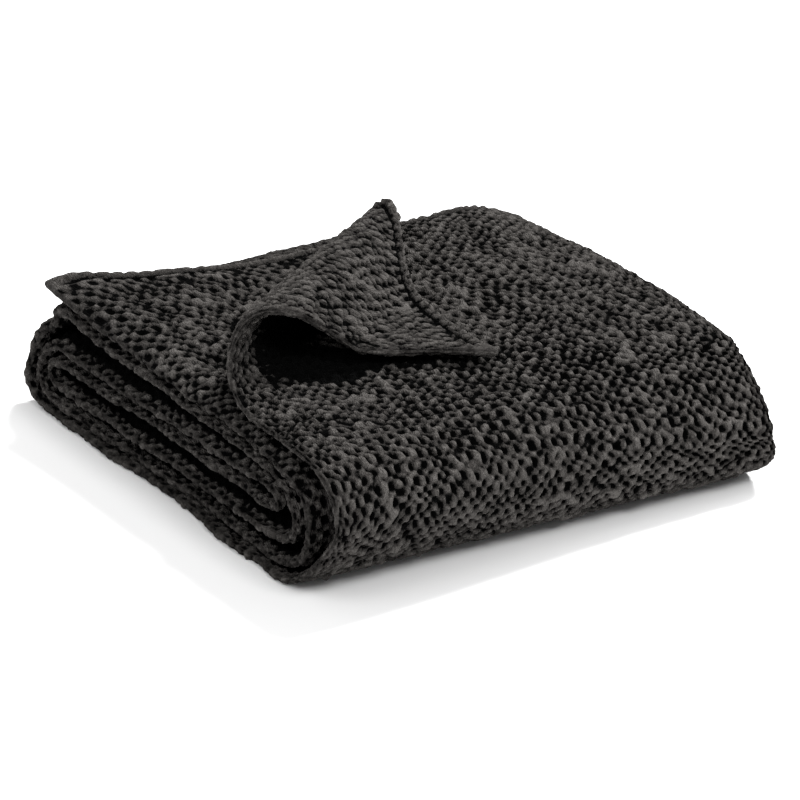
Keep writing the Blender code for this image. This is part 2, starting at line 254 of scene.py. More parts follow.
# %% [markdown]
# ## How the pack sits
#
# A folded cloth is never square. The hems are drawn out at their corners, the ends sink, the front
# fold goes slack towards the right, and the outermost fold at the back is pinched. Each of these is
# one smooth move of the points, so no two layers can cross.

# %% Let the pack sink
SETTLED = 17.0  # what is higher than this sinks by a share
DROOP_REACH_X, DROOP_FADE_Z = 28.0, 30.0
LEFT_SINK, LEFT_SINK_X = 0.03, 40.0
RIGHT_SINK = (0.26, 0.22, 0.15, 0.11, 0.16)
RIGHT_SINK_FROM_X, RIGHT_SINK_POWER = 320.0, 2.4
FRONT_SINK, FRONT_SINK_FROM_X, FRONT_SINK_POWER, FRONT_DEPTH = 0.42, 60.0, 1.1, 108.0
FOOT_PUSHED_OUT, FRONT_DRAWN_IN, DRAWN_IN_Z = 0.12, 0.36, 95.0
RIGHT_SLANT = 0.075
FOOT_HOLLOW, HOLLOW_MIDDLE_Y, HOLLOW_SPREAD_Y, HOLLOW_TOP_Z, HOLLOW_DEPTH_X = 9.0, 190.0, 95.0, 40.0, 200.0


def by_layer(values, along):
    """One value for each layer, with an even change from the middle of each to the next."""
    middles = [0.5 * (start + end) for start, end in LAYER_ENDS]
    return np.interp(along, middles, values)


def settle(x, y, z, along):
    droop = by_layer([layer.droop for layer in LAYERS], along)
    droop = droop * np.clip(1 - x / DROOP_REACH_X, 0.0, 1.0) ** 2
    droop = droop * smooth((z - SETTLED) / DROOP_FADE_Z)
    z = np.where(along < TOP_LENGTH, z, z - droop)

    left = np.clip(1 - x / LEFT_SINK_X, 0.0, 1.0) ** 2
    right = np.clip((x - RIGHT_SINK_FROM_X) / (WIDTH - RIGHT_SINK_FROM_X), 0.0, 1.0) ** RIGHT_SINK_POWER
    towards_right = smooth((x - FRONT_SINK_FROM_X) / (WIDTH - FRONT_SINK_FROM_X))
    in_front = np.clip(-y / FRONT_DEPTH, 0.0, 1.0) ** FRONT_SINK_POWER
    kept = 1 - right * at_stations(RIGHT_SINK, y) - LEFT_SINK * left
    kept = kept * (1 - FRONT_SINK * towards_right * in_front)
    sunk = np.where(z > SETTLED, SETTLED + (z - SETTLED) * kept, z)

    share = smooth(x / WIDTH)
    stretch = FOOT_PUSHED_OUT - (FOOT_PUSHED_OUT + FRONT_DRAWN_IN) * smooth(z / DRAWN_IN_Z)
    y = np.where(y < 0.0, y * (1 + share * stretch), y)
    hollow = FOOT_HOLLOW * hill(y, HOLLOW_MIDDLE_Y, HOLLOW_SPREAD_Y)
    hollow = hollow * np.clip(1 - z / HOLLOW_TOP_Z, 0.0, 1.0) * (1 - smooth(x / HOLLOW_DEPTH_X))
    return x + hollow - RIGHT_SLANT * np.clip(y, 0.0, None) * share, y, sunk


print("the right end sinks by up to", max(RIGHT_SINK), "of its height")

# %% Put a point of the flat cloth in its place
PULLED_BACK, PULLED_UP = 66.0, 11.0  # the hems are drawn out at their left corners
PULL_REACH_X, PULL_REACH = 200.0, 190.0
HEM_HOLLOW, HOLLOW_FROM_X, HOLLOW_DEEP_X = 26.0, 285.0, 345.0
HOLLOW_EASES_X, HOLLOW_EASED_X, HOLLOW_EASED_BY = 370.0, 450.0, 0.6
OUTER_BACK_FOLD = 1  # its row in FOLDS, pinched in and swollen above the pinch
Swell = namedtuple("Swell", "height spread depth fades_out_at_x")
SWELLS = (
    Swell(97.0, 8.0, -10.0, 320.0),
    Swell(117.0, 14.0, 13.0, 110.0),
)
SWELL_MARGIN, SWELL_FROM_Y, SWELL_FADE_Y = 60.0, 350.0, 30.0


def place(across, along):
    """Where the middle of the cloth is, from how far across it is (0 to 1) and how far along."""
    x_left = by_layer([layer.left_x for layer in LAYERS], along)
    x = x_left + across * (WIDTH - x_left)
    y = np.interp(along, ALONG, SECTION_Y)
    z = np.interp(along, ALONG, SECTION_Z)
    for from_hem in (along, LENGTH - along):
        near = np.clip(1 - from_hem / PULL_REACH, 0.0, 1.0) ** 2
        corner = near * np.clip(1 - x / PULL_REACH_X, 0.0, 1.0) ** 2
        hollow = smooth((x - HOLLOW_FROM_X) / (HOLLOW_DEEP_X - HOLLOW_FROM_X))
        eased_off = smooth((x - HOLLOW_EASES_X) / (HOLLOW_EASED_X - HOLLOW_EASES_X))
        hollow = hollow * (1 - HOLLOW_EASED_BY * eased_off)
        y = y + PULLED_BACK * corner - HEM_HOLLOW * near * hollow
        z = z + PULLED_UP * corner
    x, y, z = turn_back(x, y, z, along)
    fold_start = LAYER_ENDS[OUTER_BACK_FOLD][1] - SWELL_MARGIN
    fold_end = LAYER_ENDS[OUTER_BACK_FOLD + 1][0] + SWELL_MARGIN
    for swell in SWELLS:
        depth = swell.depth * hill(z, swell.height, swell.spread)
        depth = depth * (1 - smooth(x / swell.fades_out_at_x))
        depth = depth * smooth((y - SWELL_FROM_Y) / SWELL_FADE_Y)
        y = np.where((along > fold_start) & (along < fold_end), y + depth, y)
    return settle(x, y, z, along)


MIDDLE_X, MIDDLE_Y = 237.15, 162.45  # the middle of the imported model's box, in these coordinates
print("the tip of the corner is at", [round(float(c)) for c in place(0.0, 0.0)])

# %% [markdown]
# ## Soft noise
#
# Real cloth is uneven, and here the unevenness has to be the same on every run. A table of seeded
# random numbers, read with a smooth blend between its entries, gives that for whole arrays.

# %% Drift
TABLE_SIZE = 64


def drift(x, y, size, seed):
    """A smooth random value from -1 to 1 at each place, with features about as large as size."""
    table = np.random.default_rng(seed).uniform(-1.0, 1.0, (TABLE_SIZE, TABLE_SIZE))
    across, along = np.asarray(x) / size, np.asarray(y) / size
    column, row = np.floor(across).astype(int), np.floor(along).astype(int)
    to_right, to_next = smooth(across - column), smooth(along - row)
    left, right = column % TABLE_SIZE, (column + 1) % TABLE_SIZE
    here, there = row % TABLE_SIZE, (row + 1) % TABLE_SIZE
    near = table[here, left] * (1 - to_right) + table[here, right] * to_right
    far = table[there, left] * (1 - to_right) + table[there, right] * to_right
    return near * (1 - to_next) + far * to_next


print("drift at one place:", round(float(drift(12.0, 40.0, 20.0, 1)), 3))

# %% [markdown]
# ## The weave
#
# In a honeycomb weave long floats of yarn stand up as cords between deep pits. On this blanket the
# cords run along the cloth, about 37 of them side by side. Knobs of yarn sit on the cords and, half
# a cell further on, between them, so the pits are staggered. The product of two cosines has its
# hills and hollows in just that pattern, and one more cosine raises the cords. Thick and thin yarn
# is drift: it bends the grid, changes each knob and leaves a slub here and there.

# %% Where the cords and knobs are
CORD_PITCH, KNOB_PITCH = 12.9, 13.6
SELVEDGE_CORDS, SELVEDGE_CROWDING = 1.2, 9.0  # thinner cords towards the edge
PILED_FROM, PILED_FADE, LESS_IN_THE_PILE = 690.0, 60.0, 0.75
KNOB_PLACES = (-50.0, 405.0, 440.0, 480.0, 520.0, 600.0, 640.0, LENGTH + 50.0)
KNOBS_AT_LEFT = (1.0, 1.0, 0.98, 0.74, 0.60, 0.72, 1.0)  # the cells are drawn out low on the front fold
KNOBS_AT_RIGHT = (1.0, 1.0, 0.86, 0.58, 0.46, 0.68, 1.0)
Wander = namedtuple("Wander", "size cord_shift knob_shift")  # shifts are parts of a cell
WANDERS = (Wander(80.0, 0.35, 0.50), Wander(24.0, 0.20, 0.26), Wander(10.0, 0.16, 0.20))


def selvedge_shows(along):
    """1 where the selvedge lies stretched, and less where the layers pile up."""
    return 1 - LESS_IN_THE_PILE * smooth((along - PILED_FROM) / PILED_FADE)


def knobs_up_to(along, rates):
    """The length of cloth up to here, in which each span counts by its rate of knobs."""
    counted = np.concatenate([[0.0], np.cumsum(np.diff(KNOB_PLACES) * rates)])
    return np.interp(along, KNOB_PLACES, counted)


def crowding(from_edge):
    return np.exp(-np.maximum(from_edge, -SELVEDGE_CROWDING) / SELVEDGE_CROWDING)


def weave_places(across, along, seed):
    """Which cord and which knob each place is at, with parts of a cell."""
    crowded = SELVEDGE_CORDS * selvedge_shows(along)
    cord = across / CORD_PITCH - crowded * crowding(across) + crowded * crowding(WIDTH - across)
    at_left, at_right = knobs_up_to(along, KNOBS_AT_LEFT), knobs_up_to(along, KNOBS_AT_RIGHT)
    knob = (at_left + (at_right - at_left) * across / WIDTH) / KNOB_PITCH
    for wander in WANDERS:
        cord = cord + wander.cord_shift * drift(across, along, wander.size, seed)
        knob = knob + wander.knob_shift * drift(across, along, wander.size, seed + 1)
        seed += 2
    return cord, knob


print("about", round(WIDTH / CORD_PITCH), "cords lie side by side")

# %% [markdown]
# ## Pits, knobs and thick yarn
#
# The bare cosines would look like an egg box. On the real cloth the pits are small dark holes in a
# ground that hangs together. A power makes the pits narrow, and the tops of the knobs are pressed
# flat. Then come lumps, and slubs that fill a pit here and there. Each effect has its own table of
# noise, so one can be changed without the others moving.

# %% The grid of cords and knobs, as heights
DRAWN, DRAWN_VARIES, DRAWN_SIZE = 0.34, 0.20, 75.0  # how far the cords stand above what is between
EVEN_FROM, EVEN_TO, EVEN_FADE = 440.0, 760.0, 50.0  # the lower front, where the cells are even
EVEN_SINKS = 0.85  # and the cords stand out less there
CORDS_OUT, CORDS_OUT_AT, CORDS_OUT_SPREAD = 0.30, 420.0, 55.0
CORDS_OUT_TO, CORDS_OUT_FADE = 330.0, 90.0
SELVEDGE, SELVEDGE_DRAWN = 9.0, 0.35  # the selvedge is cords with little between them
KNOBS_VARY = 0.34
HIGHEST = 1.15


def evenness(along):
    return smooth((along - EVEN_FROM) / EVEN_FADE) * (1 - smooth((along - EVEN_TO) / EVEN_FADE))


def from_either_edge(across):
    return np.minimum(across, WIDTH - across)


def grid_height(across, along, cord, knob, seed):
    """0 in a pit and 1 on a knob, before any shaping."""
    cords, knobs = np.cos(2 * np.pi * cord), np.cos(2 * np.pi * knob)
    firm = (1 - smooth(from_either_edge(across) / SELVEDGE)) * selvedge_shows(along)
    drawn = DRAWN + DRAWN_VARIES * drift(across, along, DRAWN_SIZE, seed + 11)
    stretched = hill(along, CORDS_OUT_AT, CORDS_OUT_SPREAD)
    stretched = stretched * (1 - smooth((across - CORDS_OUT_TO) / CORDS_OUT_FADE))
    drawn = (drawn + CORDS_OUT * stretched) * (1 - EVEN_SINKS * evenness(along)) + SELVEDGE_DRAWN * firm
    depth = 1.0 - 0.5 * firm
    height = depth * cords * knobs + drawn * cords
    height = height + KNOBS_VARY * drift(cord, knob, 0.5, seed + 12)
    return np.clip((height + depth + drawn) / (2 * (depth + drawn)), 0.0, HIGHEST)


print("the cords stand out most at", CORDS_OUT_AT, "mm from the hem")

# %% The relief of the weave
RELIEF = 9.0  # in mm, from 0 to 1
USUAL_HEIGHT = 0.74
PIT_SHARPNESS, PITS_VARY, PITS_VARY_SIZE = 1.90, 0.28, 45.0  # sharper pits are smaller, in wider walls
SMALLER_PITS = 1.2  # on the lower front
LARGER_PITS, LARGER_AT, LARGER_SPREAD = 0.30, 335.0, 75.0  # on the front half of the top
TOPS_VARY = 0.12
LUMPS, LUMP_SIZE, SMALL_LUMPS, SMALL_LUMP_SIZE = 0.15, 5.5, 0.6, 3.2
SUNK_FRONT = 0.10
FLATTENED_FROM, FLATTENED_BY = 0.92, 0.30  # the tops of the knobs are pressed flatter than their sides
SLUB_SIZE, SLUBS_OVER, SLUB_GROWS = 11.0, 0.52, 2.2  # thick yarn, where its noise is over a level
SLUB_HEIGHT, SLUB_EVENS_OUT, SLUB_MARGIN = 0.78, 0.50, 20.0
CALM_RIDGE, RIDGE_REACH = 0.5, 45.0  # the knobs are pulled flat over the fold at the back


def relief(across, along, seed, other_face=False):
    """Height of the weave from 0 in a pit to 1 on a cord, and the places on its grid.

    The other face has its cords half a cell further on, so it has a knob behind every pit.
    """
    cord, knob = weave_places(across, along, seed)
    cord = cord + 0.5 * other_face
    height = grid_height(across, along, cord, knob, seed)
    sharp = PIT_SHARPNESS + PITS_VARY * drift(across, along, PITS_VARY_SIZE, seed + 17)
    sharp = sharp + SMALLER_PITS * evenness(along)
    sharp = sharp - LARGER_PITS * hill(along, LARGER_AT, LARGER_SPREAD)
    height = 1 - np.sign(1 - height) * np.abs(1 - height) ** sharp
    height = height + TOPS_VARY * drift(cord, knob, 0.8, seed + 13) * height
    lumps = drift(across, along, LUMP_SIZE, seed + 15)
    lumps = lumps + SMALL_LUMPS * drift(across, along, SMALL_LUMP_SIZE, seed + 16)
    height = height + LUMPS * lumps * np.clip(0.25 + height, 0.0, 1.0)
    height = height - SUNK_FRONT * evenness(along)
    height = np.minimum(height, FLATTENED_FROM + FLATTENED_BY * (height - FLATTENED_FROM))
    slub = np.clip(drift(across, along, SLUB_SIZE, seed + 14) - SLUBS_OVER, 0.0, 1.0) * SLUB_GROWS
    slub = slub * smooth((from_either_edge(across) - 2.0) / SLUB_MARGIN)
    height = height + slub * (SLUB_HEIGHT - SLUB_EVENS_OUT * height)
    calm = CALM_RIDGE * hill(along, LAYER_ENDS[2][0], RIDGE_REACH)
    height = height + calm * (USUAL_HEIGHT - height)
    return height, cord, knob


sample_x, sample_y = np.meshgrid(np.arange(0.0, 130.0), np.arange(0.0, 130.0))
sample, _, _ = relief(sample_x, sample_y, 1)
print("the relief goes from", round(float(sample.min()), 2), "to", round(float(sample.max()), 2))

# %% [markdown]
# ## One stretch of cloth as a mesh
#
# A sheet with a Solidify modifier would have the same bumps on both faces. The real weave has a
# cord on one face where the other has pits, and its edge is knobbly too. So every row of the mesh
# is a closed loop: across one face, round the selvedge, back across the other face and round the
# other selvedge. Each point is pushed out from the middle of the cloth by half its thickness there.

# %% Steps and rows
EDGE = 3.0  # the selvedge turns round from this far inside the edge of the cloth
TURN_POINTS = 6


def stepped(start, spans):
    """Places from start on: for each (end, step) evenly spaced ones up to that end."""
    places = [start]
    for end, step in spans:
        count = max(1, int(round((end - places[-1]) / step)))
        places += list(np.linspace(places[-1], end, count + 1)[1:])
    return np.array(places)


def loop_across(outer_spans, inner_spans):
    """How far across each point of a loop is, its angle from the outer face, and which edge it is at."""
    outer = stepped(EDGE, outer_spans)
    inner = stepped(EDGE, inner_spans)[::-1]
    turn = np.linspace(0.0, np.pi, TURN_POINTS + 2)[1:-1]
    across = np.concatenate([outer, np.full(TURN_POINTS, WIDTH - EDGE), inner, np.full(TURN_POINTS, EDGE)])
    angle = np.concatenate([0 * outer, turn, 0 * inner + np.pi, turn[::-1]])
    side = np.concatenate([0 * outer, turn * 0 + 1, 0 * inner, turn * 0 - 1])
    return across, angle, side


print("a row turns round each selvedge in", TURN_POINTS, "points")


# %% The middle of the cloth
WAVER_X, WAVER_Z, WAVER_REACH = 2.2, 1.6, 90.0  # the left ends waver in and out, and up and down
WAVER_SIZE_X, WAVER_SIZE_Z = 38.0, 52.0
LYING_FLAT_Z, LOOSE_Z = 12.0, 20.0  # the lowest layer doesn't waver up and down
NEAR_TOP_Z, NEAR_TOP_FADE = 100.0, 30.0
PUFF, PUFF_SIZE = 1.3, 55.0  # the top is a little puffed
Heave = namedtuple("Heave", "x y reach height")  # a swelling of the top, or a dent in it
HEAVES = (Heave(385.0, 305.0, 70.0, 6.0), Heave(117.0, 340.0, 60.0, 4.0), Heave(40.0, 172.0, 20.0, -8.0))


def cloth_middle(across, along):
    """The middle of the cloth in space, as uneven as it lies."""
    x, y, z = place(across / WIDTH, along)
    at_left = np.clip(1 - across / WAVER_REACH, 0.0, 1.0) ** 2
    loose = smooth((z - LYING_FLAT_Z) / LOOSE_Z)
    x = x + WAVER_X * at_left * drift(along, 0.0, WAVER_SIZE_X, 61)
    z = z + WAVER_Z * at_left * loose * drift(along, 5.0, WAVER_SIZE_Z, 62)
    near_top = smooth((z - NEAR_TOP_Z) / NEAR_TOP_FADE)
    z = z + PUFF * near_top * drift(x, y, PUFF_SIZE, 63)
    for heave in HEAVES:
        z = z + heave.height * near_top * np.exp(-((x - heave.x) ** 2 + (y - heave.y) ** 2) / heave.reach**2)
    return np.stack([x, y, z], axis=-1)


def unit(vectors):
    return vectors / np.maximum(np.linalg.norm(vectors, axis=-1, keepdims=True), 1e-9)


print("the ends waver by", WAVER_X, "mm")


# %% [markdown]
# ## Hems, selvedges, worn places and painted shade
#
# A hem is folded under and stitched, so its edge is a thin cord, then comes a band of flattened
# knobs, and the stitches pull a groove beyond it. The selvedge is a smooth rim of packed yarn. Parts
# of their own would leave seams, so each one bends the height of the weave where it lies. The same
# height, a little changed, is what the dye follows; it is lowered into painted shade in the hem's
# groove, between layers and under the turned-back corner.

# %% The hem
HEM = 11.0  # from the hem to the groove beside its band
BAND_HEIGHT, BAND_RELIEF, KNOBBLY_RELIEF = 0.62, 0.30, 0.60
Ridge = namedtuple("Ridge", "at spread height")
EDGE_CORD, FURROW = Ridge(2.2, 1.6, 0.18), Ridge(4.8, 0.9, -0.20)
NEXT_CORD, NEXT_CORD_KNOBBLY = Ridge(HEM + 3.6, 1.6, 0.06), 0.18
GROOVE, GROOVE_MARGIN = Ridge(HEM, 2.7, -1.25), 22.0
CALM_BESIDE, CALM_KNOBBLY = Ridge(20.0, 14.0, 0.60), 0.25


def hem_height(from_hem, from_edge, knobbly, height):
    """A thin cord at the very edge, a band of flat knobs, and a groove beyond it."""
    hemmed = 1 - smooth((from_hem - HEM + 2.0) / 3.0)
    band = BAND_HEIGHT + (BAND_RELIEF + KNOBBLY_RELIEF * knobbly) * (height - USUAL_HEIGHT)
    for ridge in (EDGE_CORD, FURROW):
        band = band + ridge.height * hill(from_hem, ridge.at, ridge.spread)
    height = height + hemmed * (band - height)
    calmer = CALM_BESIDE.height - CALM_KNOBBLY * knobbly
    calmer = calmer * hill(from_hem, CALM_BESIDE.at, CALM_BESIDE.spread)
    height = height + calmer * (USUAL_HEIGHT - height)
    groove = hill(from_hem, GROOVE.at, GROOVE.spread) * smooth(from_edge / GROOVE_MARGIN)
    next_cord = NEXT_CORD.height + NEXT_CORD_KNOBBLY * knobbly
    next_cord = next_cord * hill(from_hem, NEXT_CORD.at, NEXT_CORD.spread)
    return height * (1 + GROOVE.height * groove) + next_cord


print("the groove of the hem is", HEM, "mm from its edge")

# %% The rim of the selvedge
HALF_THICKNESS = 5.0  # at the usual height of the weave
ON_TOP_TO, ON_TOP_FADE = 560.0, 80.0
RIM_SMOOTHNESS, SMOOTHER_ON_TOP = 0.5, 0.15
RIM_HEIGHT, RIM_WAVES, RIM_WAVE_SIZE = 0.90, 0.12, 14.0
RIM_LUMPS, LESS_LUMPY_ON_TOP, RIM_LUMP_SIZE = 0.30, 0.1, 5.0


def is_on_top(along):
    return 1 - smooth((along - ON_TOP_TO) / ON_TOP_FADE)


def smoothed_rim(height, along, angle, side):
    """The selvedge is packed yarn, smoother than the faces but lumpy along its length."""
    on_top = is_on_top(along)
    rim = (RIM_SMOOTHNESS + SMOOTHER_ON_TOP * on_top) * np.abs(side) * np.sin(angle)
    round_rim = angle * HALF_THICKNESS
    rim_height = RIM_HEIGHT + RIM_WAVES * drift(along, round_rim, RIM_WAVE_SIZE, 72)
    lumps = (RIM_LUMPS - LESS_LUMPY_ON_TOP * on_top) * drift(along, round_rim, RIM_LUMP_SIZE, 71)
    return height + rim * (rim_height + lumps - height)


print("the rim is lumpy every", RIM_LUMP_SIZE, "mm or so")

# %% The thickness of the cloth
LEAST_AT_RIM, LEAST_LESS_ON_TOP = 2.2, 0.8
DEEPEST = -4.0  # a pit may reach past the middle of the cloth
THINNER_EDGE, LOWER_EDGE, THIN_WIDTH = 1.2, 0.6, 26.0  # towards the ends of the layers in the pack
HEM_STAYS_THICK = 40.0
THIN_SELVEDGE, THIN_REACH = 3.2, 7.0  # the very edge of the top layer is thinner by this on each face
HEM_TURN, HEM_LEAST = 4.0, 0.02  # the cloth is rounded off this close to its hems
CORNER, CORNER_THICKNESS = 15.0, 5.4  # the corners of the hems are thick and rounded


def at_hem_corner(from_hem, from_edge):
    return np.exp(-((from_hem / CORNER) ** 2) - (from_edge / CORNER) ** 2)


def half_thickness(along, from_hem, from_edge, share, side, height):
    """Half the thickness of the cloth, with its relief."""
    on_top = is_on_top(along)
    is_inside = np.where(along < LAYER_ENDS[2][0], share, 1.0)
    near_edge = (1 - smooth(from_edge / THIN_WIDTH)) * is_inside * smooth(from_hem / HEM_STAYS_THICK)
    thickness = HALF_THICKNESS - THINNER_EDGE * near_edge
    thickness = thickness - THIN_SELVEDGE * on_top * np.exp(-from_edge / THIN_REACH)
    thickness = thickness + (RELIEF - LOWER_EDGE * near_edge) * (height - USUAL_HEIGHT)
    least_at_rim = LEAST_AT_RIM - LEAST_LESS_ON_TOP * on_top
    least = np.where(np.abs(side) > 0, least_at_rim, DEEPEST + (least_at_rim - DEEPEST) * near_edge)
    thickness = np.maximum(thickness, least)
    thickness = thickness + at_hem_corner(from_hem, from_edge) * (CORNER_THICKNESS - thickness)
    turned_in = np.clip(from_hem / HEM_TURN, 0.0, 1.0)
    return thickness * np.sqrt(np.maximum(1 - (1 - turned_in) ** 2, HEM_LEAST))


print("the cloth is usually", 2 * HALF_THICKNESS, "mm thick")

# %% How worn the dye is, and the painted shade between layers
HEM_DYE, HEM_DYE_VARIES, HEM_LEVEL = 0.82, 0.9, 0.60  # a hem's colour follows its own height: an even band, and painted shade in its groove
CORNER_DYE, CORNER_WORN = 0.96, 0.8
LIT_TO, LIGHT_FADES_IN = 7.0, 9.0  # between two layers, painted shade darkens the cloth from here inwards
BARE_STRIP, COVERED_FADE = 42.0, 20.0  # behind the hem on top, a strip of the layer below shows
DARKER_SECOND_LAYER, DARKER_SECOND_FADE = 0.035, 50.0  # the second layer is a little darker


def dyed_and_shaded_height(along, from_hem, from_edge, share, height, hemmed_height):
    """The height that the dye follows: lower, as painted shade, where two layers face each other."""
    in_hem = 1 - smooth((from_hem - HEM - 2.0) / 2.0)
    dyed_and_shaded = height + in_hem * (HEM_DYE + HEM_DYE_VARIES * (hemmed_height - HEM_LEVEL) - height)
    dyed_and_shaded = dyed_and_shaded + CORNER_WORN * at_hem_corner(from_hem, from_edge) * (CORNER_DYE - dyed_and_shaded)
    covered = smooth((along - LAYER_ENDS[2][0] - BARE_STRIP) / COVERED_FADE)
    faces_another = (share + (1 - share) * covered) * smooth((along - TOP_LENGTH) / COVERED_FADE)
    faces_another = np.where(along > LAYER_ENDS[6][1], 1 - share, faces_another)
    # painted shade: where the cloth faces another layer, its colour darkens from LIT_TO mm inwards
    dyed_and_shaded = dyed_and_shaded - faces_another * smooth((from_edge - LIT_TO) / LIGHT_FADES_IN)
    return dyed_and_shaded - DARKER_SECOND_LAYER * smooth((along - LAYER_ENDS[6][1]) / DARKER_SECOND_FADE)


print("light reaches", LIT_TO, "mm in between two layers")

# %% The shade of the turned-back corner
SHADED_AT = (50.0, 70.0, 110.0, 150.0, 244.0)  # places across the pack, in front of the free edge
SHADED_FOR = (14.0, 31.0, 34.0, 4.0, -5.0)  # how far in front of the edge it is dark there
SHADE_FADE = 24.0
FREE_EDGE, UNDER_EDGE, UNDER_EDGE_FADE = 165.0, 8.0, 10.0  # its length, and the shade's start under it
TIP_SLANT = 0.4  # that start lies further back towards the tip
FLAT_PAST = 12.0  # cloth past the lift-off line by more than this is in the roll
IN_ROLL_FROM, IN_ROLL_FADE = -22.0, 45.0  # past the line where the roll begins
IN_ROLL_TO, IN_ROLL_ENDS = 130.0, 70.0  # across the cloth
LIT_END, LIT_END_FADE = 30.0, 40.0  # light reaches in from the selvedge


def shade_of_corner(across, along, x, y):
    """1 where the corner keeps the light off: in its roll and in front of its free edge."""
    past = past_lift_off(across, np.interp(along, ALONG, SECTION_Y))
    in_roll = smooth((past - IN_ROLL_FROM) / IN_ROLL_FADE)
    in_roll = in_roll * (1 - smooth((across - IN_ROLL_TO) / IN_ROLL_ENDS))
    edge_x, edge_y, _ = place(np.zeros(60), np.linspace(FREE_EDGE, 0.0, 60))
    in_front = np.interp(x, edge_x, edge_y) - y
    below = smooth((np.interp(x, SHADED_AT, SHADED_FOR) - in_front) / SHADE_FADE)
    under = smooth((in_front + TIP_SLANT * (edge_x[-1] - x) + UNDER_EDGE) / UNDER_EDGE_FADE)
    below = below * under * (past < FLAT_PAST)
    return np.maximum(in_roll, below) * smooth((across - LIT_END) / LIT_END_FADE)


print("the shade reaches", max(SHADED_FOR), "mm from the free edge")


# %% All of it for the points of a stretch
def woven(across, along, angle, side):
    """Half the thickness of the cloth at angle, the height for the dye and its painted shade, and the
    weave's grid.
    """
    past_edge = HALF_THICKNESS * np.minimum(angle, np.pi - angle) * np.abs(side)
    seen_across = across + side * past_edge
    outer, cord, knob = relief(seen_across, along, 1)
    inner, _, _ = relief(seen_across, along, 1, other_face=True)
    share = angle / np.pi  # 0 on the outer face, 1 on the other
    height = smoothed_rim(outer * (1 - share) + inner * share, along, angle, side)
    from_hem = np.minimum(along, LENGTH - along)
    from_edge = from_either_edge(across)
    hemmed_height = hem_height(from_hem, from_edge, share * (along < TOP_LENGTH), height)
    thickness = half_thickness(along, from_hem, from_edge, share, side, hemmed_height)
    dyed_and_shaded = dyed_and_shaded_height(along, from_hem, from_edge, share, height, hemmed_height)
    return thickness, dyed_and_shaded, cord, knob


print("the outer and the other face blend over", round(np.pi * HALF_THICKNESS), "mm of rim")

# %% [markdown]
# ## From points to a mesh
#
# The rows of points are joined by quads. Each stretch is closed at its two ends, so that it is a
# sheet and not a tube with open mouths. One face of many corners would fill badly there, so the ends
# are zipped: triangles go to and fro between the outer and the other side. The weave's grid and
# height are kept on the points, because the dye, with its painted shade, and the strands follow them.

# %% Faces of a stretch of cloth
def grid_faces(rows, columns):
    """Quads between rows of points that are each a closed loop."""
    row, column = np.meshgrid(np.arange(rows - 1), np.arange(columns), indexing="ij")
    here, beside = row * columns + column, row * columns + (column + 1) % columns
    quads = np.stack([here, here + columns, beside + columns, beside], axis=-1)
    return [tuple(quad) for quad in quads.reshape(-1, 4).tolist()]


def end_faces(across, first_point, is_start):
    """Triangles that close the loop of one end row: a zip between its outer and its other side."""
    outer_count = int(np.argmax(across)) + 1
    upper = list(range(outer_count))
    lower = list(range(len(across) - 1, outer_count - 1, -1))
    faces, i, j = [], 0, 0
    while i < len(upper) - 1 or j < len(lower) - 1:
        upper_is_next = j == len(lower) - 1
        if i < len(upper) - 1 and not upper_is_next:
            upper_is_next = across[upper[i + 1]] <= across[lower[j + 1]]
        if upper_is_next:
            face = (upper[i + 1], upper[i], lower[j])
            i += 1
        else:
            face = (lower[j], lower[j + 1], upper[i])
            j += 1
        face = face[::-1] if is_start else face
        faces.append(tuple(first_point + k for k in face))
    return faces


print(len(grid_faces(3, 8)), "quads between 3 rows of 8 points")

# %% A new object, and a count of its triangles
def linked(name, data):
    """A new object in the scene."""
    made = bpy.data.objects.new(name, data)
    bpy.context.scene.collection.objects.link(made)
    return made


def triangles_in(mesh):
    """A face with four corners counts as two triangles."""
    return len(mesh.loops) - 2 * len(mesh.polygons)


# %% Build a stretch of cloth
stretches = []  # where each piece starts and ends along the cloth
FLOOR_GAP = 0.4  # the cloth's lowest knobs are pressed flat this far above the floor
SHARP_FROM = 75.0  # degrees between two faces
SHADE_DEPTH = 0.8  # by how much full shade lowers the height that the dye follows


